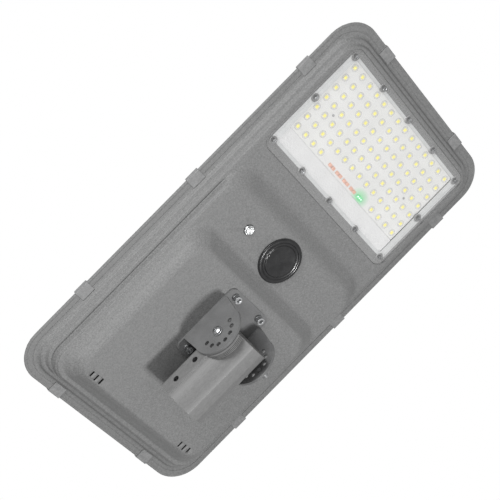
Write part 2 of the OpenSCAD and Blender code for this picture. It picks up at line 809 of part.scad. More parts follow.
module controller_parts() {
    z = sensor_floor_z + 6.6;
    color("#202124") translate([pcb_at[0], pcb_at[1], z]) {
        translate([10, 14, 0]) cylinder(r = 6, h = 4.4);
        translate([10, 30, 0]) cylinder(r = 4, h = 4);
        translate([24, 8, 0]) cube([14, 12, 4]);
        translate([26, 28, 0]) cube([8, 8, 1.6]);
        translate([42, 10, 0]) cube([10, 5, 2.2]);
        translate([42, 22, 0]) cube([10, 5, 2.2]);
        for (i = [0 : 3]) translate([8 + i*12, pcb[1] - 12, 0]) cube([9, 8, 4.4]);
    }
}

// Leads from the battery, the switch, the sensor and the LED board to the controller's plugs
module inner_leads() {
    z = sensor_floor_z + 6.6 + 2.2;
    plug = [for (i = [0 : 3]) [pcb_at[0] + 12.5 + i*12, pcb_at[1] + pcb[1] - 3.6, z]];
    r = 1;
    color("#b23b30") {
        lead([plug[0], plug[0] + [0, 5, 0], [cell_x0, cell_y + cell_l + 3.5, z],
            [cell_x0, cell_y + cell_l + 3.5, cell_z + 2], [cell_x0, cell_y + cell_l + 1.6, cell_z]], r);
        lead([plug[1], plug[1] + [0, 3, 0], plug[1] + [0, 3, 6], [switch_at[0] + 4, switch_at[1], z + 6],
            [switch_at[0] + 4, switch_at[1], at(sensor_drop) + 12.2]], r);
        lead([plug[3], plug[3] + [0, 3, 0], plug[3] + [0, 3, 8], [win_x[0] - 2, plug[3][1] + 3, at(0.6)],
            [win_x[0] + 2, plug[3][1] + 3, at(1.9)]], r);
    }
}

pole_sleeve();
set_screws();
pivot_bolts();
pivot_washers();
bracket();
bracket_bolts();
spring_washers();
backing_plate();
bracket_nuts();
lock_bolt();
lock_washers();
lower_housing();
rim_gasket();
panel_frame();
edge_clips();
glass_gasket();
solar_glass();
solar_cells();
backsheet();
junction_box();
lens_cover();
lens_gasket();
lens_screws();
led_board();
led_chips();
charge_leds();
run_led();
diffuser_strip();
heat_sink();
board_screws();
sensor_cover();
sensor_seal();
sensor_board();
switch_body();
switch_seal();
switch_nut();
button_cap();
battery_cells();
battery_cradles();
battery_clamps();
cell_links();
controller_board();
controller_parts();
board_posts();
inner_leads();
vent_membranes();
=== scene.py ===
from math import pi, radians

import bmesh
import bpy
from mathutils import Matrix, Vector


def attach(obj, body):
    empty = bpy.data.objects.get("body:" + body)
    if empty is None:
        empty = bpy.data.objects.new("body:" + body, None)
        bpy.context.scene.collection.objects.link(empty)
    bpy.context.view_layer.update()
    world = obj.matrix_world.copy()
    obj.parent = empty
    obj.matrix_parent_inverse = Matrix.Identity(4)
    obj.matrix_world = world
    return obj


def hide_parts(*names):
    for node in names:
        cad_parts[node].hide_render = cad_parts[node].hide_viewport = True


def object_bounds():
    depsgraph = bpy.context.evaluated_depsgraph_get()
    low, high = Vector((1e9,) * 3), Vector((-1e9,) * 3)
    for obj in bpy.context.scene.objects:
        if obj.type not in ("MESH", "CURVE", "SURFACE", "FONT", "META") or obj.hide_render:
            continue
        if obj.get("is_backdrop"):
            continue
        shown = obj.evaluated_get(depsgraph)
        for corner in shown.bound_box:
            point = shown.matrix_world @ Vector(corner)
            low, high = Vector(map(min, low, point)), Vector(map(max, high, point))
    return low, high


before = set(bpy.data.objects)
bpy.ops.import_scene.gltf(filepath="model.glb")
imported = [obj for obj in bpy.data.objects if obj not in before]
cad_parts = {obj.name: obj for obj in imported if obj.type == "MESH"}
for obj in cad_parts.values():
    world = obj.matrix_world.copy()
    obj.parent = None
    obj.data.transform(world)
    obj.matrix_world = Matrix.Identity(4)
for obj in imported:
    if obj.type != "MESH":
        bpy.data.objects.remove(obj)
cad_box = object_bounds()

# ---- Pole sleeve ----
# A die-cast aluminium socket that goes over the pole's end, with a ribbed round hub under the near ear.
# It is powder coated grey; the casting's corners are rounded and its faces keep a fine grain.

MM = 0.001

grain = bpy.data.node_groups.new("fine_grain", "ShaderNodeTree")
grain.interface.new_socket("Position", in_out="INPUT", socket_type="NodeSocketVector")
grain.interface.new_socket("Grain Size", in_out="INPUT", socket_type="NodeSocketFloat")
grain.interface.new_socket("Cloud Size", in_out="INPUT", socket_type="NodeSocketFloat")
grain.interface.new_socket("Relief", in_out="OUTPUT", socket_type="NodeSocketFloat")
grain.interface.new_socket("Tone", in_out="OUTPUT", socket_type="NodeSocketFloat")
inside = grain.nodes.new("NodeGroupInput")
outside = grain.nodes.new("NodeGroupOutput")
grain_noise = grain.nodes.new("ShaderNodeTexNoise")
grain_noise.inputs["Detail"].default_value = 3.0
grain_noise.inputs["Roughness"].default_value = 0.6
cloud_noise = grain.nodes.new("ShaderNodeTexNoise")
cloud_noise.inputs["Detail"].default_value = 4.0
speck_mix = grain.nodes.new("ShaderNodeMix")
speck_mix.inputs["Factor"].default_value = 0.55
contrast = grain.nodes.new("ShaderNodeMapRange")
contrast.inputs["From Min"].default_value = 0.36
contrast.inputs["From Max"].default_value = 0.64
for noise, size in ((grain_noise, "Grain Size"), (cloud_noise, "Cloud Size")):
    per_metre = grain.nodes.new("ShaderNodeMath")
    per_metre.operation = "DIVIDE"
    per_metre.inputs[0].default_value = 1.0
    grain.links.new(inside.outputs[size], per_metre.inputs[1])
    grain.links.new(inside.outputs["Position"], noise.inputs["Vector"])
    grain.links.new(per_metre.outputs[0], noise.inputs["Scale"])
grain.links.new(cloud_noise.outputs["Fac"], speck_mix.inputs["A"])
grain.links.new(grain_noise.outputs["Fac"], speck_mix.inputs["B"])
grain.links.new(grain_noise.outputs["Fac"], outside.inputs["Relief"])
grain.links.new(speck_mix.outputs["Result"], contrast.inputs["Value"])
grain.links.new(contrast.outputs["Result"], outside.inputs["Tone"])


def finish(name, dark, light, rough, grain_mm=0.5, relief_mm=0.02, cloud_mm=40.0, metal=0.0, coat=0.0,
           drawn=1.0):
    """A surface between two shades, with a grain of that size and depth; rough is (low, high),
    and drawn is how many times longer the marks are along X."""
    made = bpy.data.materials.new(name)
    made.use_nodes = True
    tree = made.node_tree
    surface = tree.nodes["Principled BSDF"]
    place = tree.nodes.new("ShaderNodeTexCoord")
    skin = tree.nodes.new("ShaderNodeGroup")
    skin.node_tree = grain
    skin.inputs["Grain Size"].default_value = grain_mm * MM
    skin.inputs["Cloud Size"].default_value = cloud_mm * MM
    shade = tree.nodes.new("ShaderNodeMix")
    shade.data_type = "RGBA"
    shade.inputs["A"].default_value = (*dark, 1.0)
    shade.inputs["B"].default_value = (*light, 1.0)
    sheen = tree.nodes.new("ShaderNodeMapRange")
    sheen.inputs["To Min"].default_value = rough[0]
    sheen.inputs["To Max"].default_value = rough[1]
    bump = tree.nodes.new("ShaderNodeBump")
    bump.inputs["Distance"].default_value = relief_mm * MM
    squeeze = tree.nodes.new("ShaderNodeVectorMath")
    squeeze.operation = "MULTIPLY"
    squeeze.inputs[1].default_value = (1.0 / drawn, 1.0, 1.0)
    tree.links.new(place.outputs["Object"], squeeze.inputs[0])
    tree.links.new(squeeze.outputs["Vector"], skin.inputs["Position"])
    tree.links.new(skin.outputs["Tone"], shade.inputs["Factor"])
    tree.links.new(shade.outputs["Result"], surface.inputs["Base Color"])
    tree.links.new(skin.outputs["Tone"], sheen.inputs["Value"])
    tree.links.new(sheen.outputs["Result"], surface.inputs["Roughness"])
    tree.links.new(skin.outputs["Relief"], bump.inputs["Height"])
    tree.links.new(bump.outputs["Normal"], surface.inputs["Normal"])
    surface.inputs["Metallic"].default_value = metal
    surface.inputs["Coat Weight"].default_value = coat
    surface.inputs["Coat Roughness"].default_value = 0.08
    made.diffuse_color = (*light, 1.0)
    return made


def make_piece(name, shape, material, body, stands_for=(), crease=32):
    """Turns a finished bmesh into a piece that rides on a body."""
    mesh = bpy.data.meshes.new(name)
    shape.to_mesh(mesh)
    shape.free()
    mesh.materials.append(material)
    mesh.shade_smooth()
    mesh.set_sharp_from_angle(angle=radians(crease))
    piece = bpy.data.objects.new(name, mesh)
    bpy.context.scene.collection.objects.link(piece)
    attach(piece, body)
    if stands_for:
        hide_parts(*stands_for)
    return piece


def round_edges(piece, width_mm, segments, angle):
    """Rounds every corner sharper than the angle, and keeps the flats flat to the light."""
    edge = piece.modifiers.new("rounded corners", "BEVEL")
    edge.width = width_mm * MM
    edge.segments = segments
    edge.limit_method = "ANGLE"
    edge.angle_limit = radians(angle)
    edge.use_clamp_overlap = True
    edge.harden_normals = False
    flats = piece.modifiers.new("flat faces", "WEIGHTED_NORMAL")
    flats.keep_sharp = True


def softened(node, material, body, width_mm, segments=2, angle=30):
    """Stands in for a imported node, with its corners rounded as the real casting or screw has them."""
    shape = bmesh.new()
    shape.from_mesh(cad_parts[node].data)
    bmesh.ops.remove_doubles(shape, verts=shape.verts, dist=2e-6)
    bmesh.ops.dissolve_limit(shape, angle_limit=radians(0.5), verts=shape.verts, edges=shape.edges)
    piece = make_piece(node + "_finished", shape, material, body, (node,), crease=angle)
    round_edges(piece, width_mm, segments, angle)


cast_grey = finish("sleeve powder coat", (0.166, 0.166, 0.166), (0.214, 0.214, 0.213), (0.42, 0.54),
                   grain_mm=0.9, relief_mm=0.035, cloud_mm=3.0, drawn=2.5)
softened("pole_sleeve", cast_grey, "sleeve", 0.3)
black_oxide = finish("black oxide steel", (0.02, 0.02, 0.021), (0.05, 0.05, 0.052), (0.35, 0.5),
                     grain_mm=0.4, metal=0.9)
softened("set_screws", black_oxide, "sleeve", 0.25)

# ---- Pivot bolts and washers ----
# One low round-headed socket screw through each ear into the sleeve, on a flat washer.
# Bright zinc-plated steel, turned heads with a smooth crown.

bright_zinc = finish("bright zinc plate", (0.38, 0.385, 0.39), (0.78, 0.79, 0.80), (0.16, 0.30),
                     grain_mm=0.9, relief_mm=0.05, cloud_mm=4.0, metal=1.0)
dull_zinc = finish("dull spring steel", (0.34, 0.345, 0.35), (0.55, 0.555, 0.56), (0.30, 0.46),
                   grain_mm=0.5, relief_mm=0.02, cloud_mm=5.0, metal=1.0)
softened("pivot_bolts", bright_zinc, "sleeve", 0.25, segments=3)
softened("pivot_washers", bright_zinc, "sleeve", 0.3)

# ---- Tilting bracket ----
# A base plate with two half-round ears, each with a ring of angle holes round the pivot.
# Die-cast and powder coated a shade darker than the sleeve.

bracket_grey = finish("bracket powder coat", (0.125, 0.126, 0.127), (0.185, 0.186, 0.187), (0.40, 0.56),
                      grain_mm=1.2, relief_mm=0.05, cloud_mm=25.0)
softened("bracket", bracket_grey, "head", 0.6, segments=3)
softened("bracket_bolts", bright_zinc, "head", 0.45, segments=3)
softened("spring_washers", dull_zinc, "head", 0.2)
softened("lock_bolt", dull_zinc, "head", 0.4, segments=3)
softened("lock_washers", dull_zinc, "head", 0.3)
softened("backing_plate", dull_zinc, "head", 0.4)
softened("bracket_nuts", bright_zinc, "head", 0.3)

# ---- Lower housing ----
# One injection moulding in fine-textured grey weatherproof plastic: a flat rim, then steps down to the
# LED face, the sensor face and the deep battery face. Every step has a soft moulded radius.


def plan(shape, x0, x1, half_width, radius, z, corner_steps=10):
    """A closed loop of edges: a rounded rectangle from x0 to x1, in mm. Returns its edges."""
    made = bmesh.ops.create_grid(shape, x_segments=1, y_segments=1, size=0.5)["verts"]
    size = Vector(((x1 - x0) * MM, 2 * half_width * MM, 1.0))
    bmesh.ops.scale(shape, vec=size, verts=made)
    bmesh.ops.translate(shape, vec=Vector(((x0 + x1) / 2 * MM, 0.0, z * MM)), verts=made)
    rounded = bmesh.ops.bevel(shape, geom=made, offset=radius * MM, segments=corner_steps, profile=0.5,
                              affect="VERTICES", material=-1)
    faces = {f for v in rounded["verts"] for f in v.link_faces}
    edges = list(max(faces, key=lambda f: len(f.verts)).edges)
    bmesh.ops.delete(shape, geom=list(faces), context="FACES_ONLY")
    return edges


def rim_plan(shape, inset, z):
    """The head's outline drawn in by an inset."""
    return plan(shape, -104 + inset, 496 - inset, 172 - inset, 43 - 0.6 * inset, z, 14)


def join_loops(shape, loops):
    """Skins a row of loops, each to the next. No two neighbours may lie at the same height."""
    for first, second in zip(loops, loops[1:]):
        bmesh.ops.bridge_loops(shape, edges=first + second)


def ring_hole(shape, x, y, z, radius, steps):
    """The edges of a round hole."""
    made = bmesh.ops.create_circle(shape, cap_ends=False, segments=steps, radius=radius * MM)["verts"]
    bmesh.ops.translate(shape, vec=Vector((x, y, z)) * MM, verts=made)
    return list({e for v in made for e in v.link_edges})


def slot_hole(shape, x, y, z, length, width):
    """A slot with round ends, along x."""
    edges = plan(shape, -length / 2, length / 2, width / 2, width * 0.4999, 0.0, 5)
    around = list({v for e in edges for v in e.verts})
    bmesh.ops.translate(shape, vec=Vector((x, y, z)) * MM, verts=around)
    return edges


sensor_face, battery_face = 59.0, 41.0
housing = bmesh.new()
# Each row is an inset from the outline and a height; one fine groove runs round the rim's flat.
rim_profile = [(0.3, 85.0), (0.0, 84.7), (0.0, 83.7), (0.25, 83.25), (0.8, 83.0), (2.7, 82.98), (3.0, 83.3),
               (3.3, 83.0), (8.9, 82.98), (9.05, 83.4), (9.75, 83.38), (9.9, 83.0), (12.6, 82.98),
               (13.8, 82.75), (14.8, 82.1), (15.5, 81.0), (16.2, 79.0), (16.8, 77.9), (17.6, 77.25),
               (18.6, 77.0), (20.4, 76.98), (21.1, 76.8), (21.6, 76.2), (22.7, 72.6), (23.2, 71.7),
               (24.0, 71.15), (24.9, 71.0)]
rim_loops = [rim_plan(housing, inset, z) for inset, z in rim_profile]
join_loops(housing, rim_loops)
# Each row of an island or the lens recess: x from, x to, half width, corner radius, height.
sensor_island = [(-82.2, 276.0, 144.0, 30.5, 71.0), (-81.5, 272.0, 143.4, 30.2, 70.8),
                 (-80.9, 268.5, 143.0, 29.8, 70.1), (-80.6, 265.5, 142.8, 29.6, 69.0),
                 (-79.6, 255.2, 142.5, 28.9, 63.1), (-79.2, 254.6, 142.1, 28.7, 62.8),
                 (-78.2, 253.2, 141.0, 28.3, 61.9), (-77.9, 252.0, 140.7, 28.1, 61.3),
                 (-77.6, 248.8, 140.4, 27.9, 59.9), (-77.1, 245.0, 140.0, 27.6, 59.2),
                 (-76.2, 240.4, 139.4, 27.0, 59.0)]
sensor_loops = [plan(housing, *row, 12) for row in sensor_island]
join_loops(housing, sensor_loops)
battery_island = [(-72.4, 186.0, 137.8, 29.0, 59.0), (-71.3, 182.6, 136.7, 28.4, 58.75),
                  (-70.4, 180.0, 135.8, 27.9, 58.1), (-69.7, 178.2, 135.1, 27.5, 57.1),
                  (-64.6, 171.9, 129.7, 25.5, 51.9), (-63.8, 171.3, 128.9, 25.0, 51.35),
                  (-63.5, 170.9, 128.6, 24.8, 50.8), (-59.9, 165.7, 124.8, 23.2, 46.0),
                  (-59.1, 165.1, 124.0, 22.8, 45.45), (-58.8, 164.6, 123.7, 22.6, 44.9),
                  (-56.3, 162.6, 121.3, 21.8, 42.9), (-55.6, 161.2, 120.6, 21.4, 41.9),
                  (-54.4, 158.6, 119.4, 20.6, 41.25), (-52.8, 155.4, 117.8, 20.0, 41.0)]
battery_loops = [plan(housing, *row, 12) for row in battery_island]
join_loops(housing, battery_loops)
recess = [(298.8, 467.7, 142.2, 14.8, 71.0), (299.3, 467.2, 141.7, 14.3, 71.15),
          (299.5, 467.0, 141.5, 14.0, 71.6), (299.5, 467.0, 141.5, 14.0, 74.0),
          (315.0, 455.0, 127.0, 4.0, 74.0), (315.0, 455.0, 127.0, 4.0, 77.0)]
recess_loops = [plan(housing, *row, 8) for row in recess]
join_loops(housing, recess_loops[:4])
bmesh.ops.triangle_fill(housing, use_beauty=True, edges=recess_loops[3] + recess_loops[4])
join_loops(housing, recess_loops[4:])
hole_x = 212.5
switch_y = -70.4
sensor_hole = ring_hole(housing, hole_x, 0.0, sensor_face, 26.3, 64)
switch_hole = ring_hole(housing, hole_x, switch_y, sensor_face, 6.25, 32)
vent_x, vent_y, vent_pitch = -48.0, 91.8, 8.9
vent_slots = [slot_hole(housing, vent_x, side * vent_y + k * vent_pitch, battery_face, 9.4, 2.8)
              for side in (-1, 1) for k in (-1, 0, 1)]
pivot_x, bolt_x, bolt_y = 97.0, 43.6, 25.2
bolt_holes = [ring_hole(housing, pivot_x + i * bolt_x, j * bolt_y, battery_face, 3.3, 20)
              for i in (-1, 1) for j in (-1, 1)]
bmesh.ops.triangle_fill(housing, use_beauty=True, edges=rim_loops[-1] + sensor_loops[0] + recess_loops[0])
bmesh.ops.triangle_fill(housing, use_beauty=True,
                        edges=sensor_loops[-1] + battery_loops[0] + sensor_hole + switch_hole)
bmesh.ops.triangle_fill(housing, use_beauty=True,
                        edges=battery_loops[-1] + sum(vent_slots, []) + sum(bolt_holes, []))
bmesh.ops.recalc_face_normals(housing, faces=housing.faces)
if sum(f.normal.z * f.calc_area() for f in housing.faces) > 0:
    bmesh.ops.reverse_faces(housing, faces=housing.faces)
moulded_grey = finish("moulded grey plastic", (0.147, 0.148, 0.148), (0.258, 0.259, 0.258), (0.48, 0.64),
                      grain_mm=1.15, relief_mm=0.10, cloud_mm=2.0)
housing_piece = make_piece("lower_housing_moulding", housing, moulded_grey, "head",
                           ("lower_housing",), crease=60)
wall = housing_piece.modifiers.new("wall", "SOLIDIFY")
wall.thickness = 2 * MM
wall.offset = -1.0
flats = housing_piece.modifiers.new("flat faces", "WEIGHTED_NORMAL")
flats.keep_sharp = True

# ---- Rim seal, clips and vents ----
# A black cellular gasket between the two mouldings, grey spring clips that pinch them together, and
# black breather membranes behind the drain slots.

black_rubber = finish("black gasket rubber", (0.012, 0.012, 0.013), (0.03, 0.03, 0.032), (0.65, 0.85),
                      grain_mm=0.8, relief_mm=0.05, cloud_mm=15.0)
clip_grey = finish("clip plastic", (0.190, 0.191, 0.192), (0.300, 0.301, 0.302), (0.42, 0.56),
                   grain_mm=1.5, relief_mm=0.06, cloud_mm=4.0)
softened("edge_clips", clip_grey, "head", 0.35)

# ---- Panel frame ----
# A one-piece moulded frame with a broad sloping edge that carries the glass, in the housing's plastic.
# Its outer edge is rounded and a fine bead runs round it beside the glass.

softened("panel_frame", moulded_grey, "head", 0.8, segments=3, angle=24)

# ---- Solar panel ----
# Dark blue monocrystalline cells with silver fingers and busbars, on a white sheet, under toughened glass.
# The stripes follow the cells' own grid.

stripes = bpy.data.node_groups.new("printed_stripes", "ShaderNodeTree")
for title in ("Position", "Start", "Pitch", "Width"):
    stripes.interface.new_socket(title, in_out="INPUT", socket_type="NodeSocketFloat")
stripes.interface.new_socket("Mask", in_out="OUTPUT", socket_type="NodeSocketFloat")
inside = stripes.nodes.new("NodeGroupInput")
outside = stripes.nodes.new("NodeGroupOutput")
# The distance to the middle of the nearest stripe, as a share of the pitch, then back in metres.
steps = []
for operation in ("SUBTRACT", "DIVIDE", "FRACT", "SUBTRACT", "ABSOLUTE", "MULTIPLY", "LESS_THAN"):
    step = stripes.nodes.new("ShaderNodeMath")
    step.operation = operation
    if steps:
        stripes.links.new(steps[-1].outputs[0], step.inputs[0])
    steps.append(step)
stripes.links.new(inside.outputs["Position"], steps[0].inputs[0])
stripes.links.new(inside.outputs["Start"], steps[0].inputs[1])
stripes.links.new(inside.outputs["Pitch"], steps[1].inputs[1])
steps[3].inputs[1].default_value = 0.5
stripes.links.new(inside.outputs["Pitch"], steps[5].inputs[1])
stripes.links.new(inside.outputs["Width"], steps[6].inputs[1])
stripes.links.new(steps[6].outputs[0], outside.inputs["Mask"])

cell_blue = finish("solar cell", (0.006, 0.009, 0.022), (0.014, 0.022, 0.055), (0.18, 0.30),
                   grain_mm=2.5, relief_mm=0.01, cloud_mm=60.0, coat=0.5)
tree = cell_blue.node_tree
surface = tree.nodes["Principled BSDF"]
place = tree.nodes["Texture Coordinate"]
axes = tree.nodes.new("ShaderNodeSeparateXYZ")
tree.links.new(place.outputs["Object"], axes.inputs[0])
bare = tree.nodes["Mix"]
printed = None
for axis, start, pitch, width in (("X", -0.078, 0.0018, 0.00009), ("Y", -0.146, 0.019634, 0.0006)):
    line = tree.nodes.new("ShaderNodeGroup")
    line.node_tree = stripes
    line.inputs["Start"].default_value = start
    line.inputs["Pitch"].default_value = pitch
    line.inputs["Width"].default_value = width
    tree.links.new(axes.outputs[axis], line.inputs["Position"])
    if printed is None:
        printed = line.outputs["Mask"]
    else:
        either = tree.nodes.new("ShaderNodeMath")
        either.operation = "MAXIMUM"
        tree.links.new(printed, either.inputs[0])
        tree.links.new(line.outputs["Mask"], either.inputs[1])
        printed = either.outputs[0]
silver = tree.nodes.new("ShaderNodeMix")
silver.data_type = "RGBA"
silver.inputs["B"].default_value = (0.42, 0.43, 0.45, 1.0)
tree.links.new(printed, silver.inputs["Factor"])
tree.links.new(bare.outputs["Result"], silver.inputs["A"])
tree.links.new(silver.outputs["Result"], surface.inputs["Base Color"])

sheet_white = finish("white back sheet", (0.70, 0.70, 0.71), (0.82, 0.82, 0.83), (0.5, 0.65),
                     grain_mm=1.5, relief_mm=0.02, cloud_mm=50.0)
panel_glass = finish("toughened panel glass", (0.55, 0.62, 0.64), (0.60, 0.67, 0.69), (0.03, 0.06),
                     grain_mm=3.0, relief_mm=0.004, cloud_mm=80.0)
panel_glass.node_tree.nodes["Principled BSDF"].inputs["Alpha"].default_value = 0.10
panel_glass.node_tree.nodes["Principled BSDF"].inputs["Specular IOR Level"].default_value = 0.8
black_moulding = finish("black moulded plastic", (0.012, 0.012, 0.013), (0.03, 0.03, 0.032), (0.38, 0.55),
                        grain_mm=0.8, relief_mm=0.05, cloud_mm=12.0)

# ---- LED board ----
# A white-coated aluminium board screwed to a plate, with rows of packages that each hold a yellow phosphor
# square under a small clear dome, and a line of status lights behind a frosted strip.

board_white = finish("white board coating", (0.80, 0.80, 0.79), (0.88, 0.88, 0.87), (0.42, 0.55),
                     grain_mm=0.8, relief_mm=0.01, cloud_mm=30.0)
board_top, window_z = 75.4, 74.8
status_x, run_light_y = 344.0, 34.5
tree = board_white.node_tree
surface = tree.nodes["Principled BSDF"]
# Painted light: the run light's soft green glow on the board round it is painted into the board's colour,
# fading out from the light.
centre = tree.nodes.new("ShaderNodeMapping")
centre.vector_type = "TEXTURE"
centre.inputs["Location"].default_value = Vector((status_x, run_light_y, board_top)) * MM
centre.inputs["Scale"].default_value = (0.014, 0.018, 0.014)
painted_glow_spread = tree.nodes.new("ShaderNodeTexGradient")
painted_glow_spread.gradient_type = "SPHERICAL"
glow = tree.nodes.new("ShaderNodeMix")
glow.data_type = "RGBA"
glow.inputs["B"].default_value = (0.13, 0.72, 0.26, 1.0)
tree.links.new(tree.nodes["Texture Coordinate"].outputs["Object"], centre.inputs["Vector"])
tree.links.new(centre.outputs["Vector"], painted_glow_spread.inputs["Vector"])
tree.links.new(painted_glow_spread.outputs["Fac"], glow.inputs["Factor"])
tree.links.new(tree.nodes["Mix"].outputs["Result"], glow.inputs["A"])
tree.links.new(glow.outputs["Result"], surface.inputs["Base Color"])

led_rows, led_columns = 7, 14
first_row_x, row_pitch, column_pitch = 346.0, 16.75, 18.077
middle = (led_columns - 1) / 2
led_spots = [(first_row_x + i * row_pitch, (j - middle) * column_pitch) for i in range(led_rows)
             for j in range(led_columns) if i > 0 or abs(j - middle) > 3]


def lay_out(pattern, spots, z):
    """Repeats a small pattern at each spot, all in one bmesh."""
    whole = bmesh.new()
    for x, y in spots:
        before = len(whole.verts)
        mesh = bpy.data.meshes.new("pattern")
        pattern.to_mesh(mesh)
        whole.from_mesh(mesh)
        bpy.data.meshes.remove(mesh)
        whole.verts.ensure_lookup_table()
        bmesh.ops.translate(whole, vec=Vector((x, y, z)) * MM, verts=whole.verts[before:])
    pattern.free()
    return whole


def block(shape, size, at, edge=0.0):
    """A block of a size in mm, centred at a place in mm, with its corners rounded. Returns its corners."""
    made = bmesh.ops.create_cube(shape, size=MM)["verts"]
    bmesh.ops.scale(shape, vec=Vector(size), verts=made)
    bmesh.ops.translate(shape, vec=Vector(at) * MM, verts=made)
    if edge:
        around = list({e for v in made for e in v.link_edges})
        bmesh.ops.bevel(shape, geom=around, offset=edge * MM, segments=2, profile=0.5, affect="EDGES",
                        material=-1)
    return made


package = bmesh.new()
block(package, (4.9, 4.9, 0.5), (0, 0, -0.25), 0.12)
white_ceramic = finish("white package", (0.82, 0.82, 0.80), (0.90, 0.90, 0.88), (0.35, 0.5), grain_mm=0.3)
make_piece("led_packages", lay_out(package, led_spots, board_top), white_ceramic, "head")
phosphor_square = bmesh.new()
block(phosphor_square, (4.4, 4.4, 0.45), (0, 0, -0.65), 0.18)
phosphor = finish("yellow phosphor", (0.93, 0.82, 0.10), (0.98, 0.92, 0.30), (0.45, 0.6), grain_mm=0.25,
                  relief_mm=0.02, cloud_mm=2.0)


def lit_up(material, colour, strength):
    """Makes a material glow by itself."""
    surface = material.node_tree.nodes["Principled BSDF"]
    surface.inputs["Emission Color"].default_value = (*colour, 1.0)
    surface.inputs["Emission Strength"].default_value = strength


# Painted light: the phosphor squares are not lit, but they get a faint yellow glow of their own so they read
# brighter.
lit_up(phosphor, (1.0, 0.88, 0.22), 0.18)
make_piece("led_phosphors", lay_out(phosphor_square, led_spots, board_top), phosphor, "head",
           ("led_chips",))


def turned(shape, profile, x, y, z, steps):
    """Spins a profile of (radius, depth below z) pairs, in mm, round an upright axis."""
    points = [shape.verts.new((radius * MM, 0.0, -drop * MM)) for radius, drop in profile]
    edges = [shape.edges.new(pair) for pair in zip(points, points[1:])]
    bmesh.ops.spin(shape, geom=points + edges, cent=(0, 0, 0), axis=(0, 0, 1), angle=2 * pi, steps=steps,
                   use_merge=True)
    bmesh.ops.remove_doubles(shape, verts=shape.verts, dist=1e-7)
    bmesh.ops.translate(shape, vec=Vector((x, y, z)) * MM, verts=shape.verts)
    bmesh.ops.recalc_face_normals(shape, faces=shape.faces)
    return shape


dome = turned(bmesh.new(), [(0.0, 3.2), (2.2, 2.95), (4.0, 2.1), (5.0, 1.0), (5.3, 0.15), (0.0, 0.15)],
              0, 0, 0, steps=12)


def clear_edge(material, blend, middle, edge):
    """Makes a clear plastic: see-through where it faces the eye and cloudier towards its edges."""
    tree = material.node_tree
    facing = tree.nodes.new("ShaderNodeLayerWeight")
    facing.inputs["Blend"].default_value = blend
    cloudy = tree.nodes.new("ShaderNodeMapRange")
    cloudy.inputs["To Min"].default_value = middle
    cloudy.inputs["To Max"].default_value = edge
    tree.links.new(facing.outputs["Facing"], cloudy.inputs["Value"])
    tree.links.new(cloudy.outputs["Result"], tree.nodes["Principled BSDF"].inputs["Alpha"])


clear_dome = finish("clear silicone dome", (0.74, 0.74, 0.74), (0.82, 0.82, 0.82), (0.04, 0.08), grain_mm=1.0,
                    relief_mm=0.004)
clear_edge(clear_dome, 0.5, 0.0, 0.5)
make_piece("led_domes", lay_out(dome, led_spots, 75.3), clear_dome, "head", crease=60)

bar_pitch = 17.25
bars = bmesh.new()
for k in range(4):
    for half in (-1, 1):
        block(bars, (4.6, 6.0, 1.2), (status_x, (k - 2) * bar_pitch + half * 3.6, window_z), 0.5)
unlit_red = finish("unlit red window", (0.80, 0.40, 0.28), (0.90, 0.54, 0.42), (0.35, 0.5), grain_mm=1.2,
                   cloud_mm=4.0)
make_piece("charge_bars", bars, unlit_red, "head", ("charge_leds",))
lit = bmesh.new()
block(lit, (5.0, 12.4, 1.2), (status_x, run_light_y, window_z), 0.55)
lit_green = finish("lit green window", (0.10, 0.62, 0.24), (0.20, 0.78, 0.36), (0.3, 0.45), grain_mm=1.2,
                   cloud_mm=4.0)
lit_up(lit_green, (0.12, 0.75, 0.28), 0.18)
make_piece("run_light", lit, lit_green, "head", ("run_led",))
dots = bmesh.new()
for k in (-1, 0, 1):
    spot = turned(bmesh.new(), [(0.0, 1.7), (0.7, 1.55), (1.05, 1.1), (1.05, 0.9), (0.0, 0.9)], status_x,
                  run_light_y + k * 3.5, board_top, steps=16)
    mesh = bpy.data.meshes.new("dot")
    spot.to_mesh(mesh)
    spot.free()
    dots.from_mesh(mesh)
    bpy.data.meshes.remove(mesh)
lit_white = finish("lit pale green spot", (0.80, 0.97, 0.84), (0.92, 1.0, 0.94), (0.3, 0.4), grain_mm=0.5)
lit_up(lit_white, (0.75, 1.0, 0.82), 1.2)
make_piece("run_light_spots", dots, lit_white, "head")

# ---- Frosted strip ----
# A strip of white prismatic plastic between the board and the first row of lens screws.
# Fine crossed ribs scatter the light of the status lights.

frosted = finish("frosted strip", (0.76, 0.76, 0.76), (0.84, 0.84, 0.84), (0.4, 0.55), grain_mm=0.8,
                 relief_mm=0.01, cloud_mm=25.0)
tree = frosted.node_tree
ribs = tree.nodes.new("ShaderNodeTexVoronoi")
ribs.inputs["Scale"].default_value = 420.0
tree.links.new(tree.nodes["Texture Coordinate"].outputs["Object"], ribs.inputs["Vector"])
tree.links.new(ribs.outputs["Distance"], tree.nodes["Bump"].inputs["Height"])
tree.nodes["Bump"].inputs["Distance"].default_value = 0.0004

# ---- Lens cover ----
# A clear moulded cover: a flange that sits in the recess and a raised pane, cut back in a half-round lobe
# at each of its screws. It is screwed down on a white silicone gasket.

near_x, middle_x, far_x = 311.5, 385.0, 458.5
screw_y = 130.5
lens_screws = [(near_x, i * screw_y / 2) for i in (-2, -1, 0, 1, 2)]
lens_screws += [(far_x, i * screw_y / 2) for i in (-1, 0, 1)]
lens_screws += [(x, side * screw_y) for x in (far_x - 3, middle_x) for side in (-1, 1)]


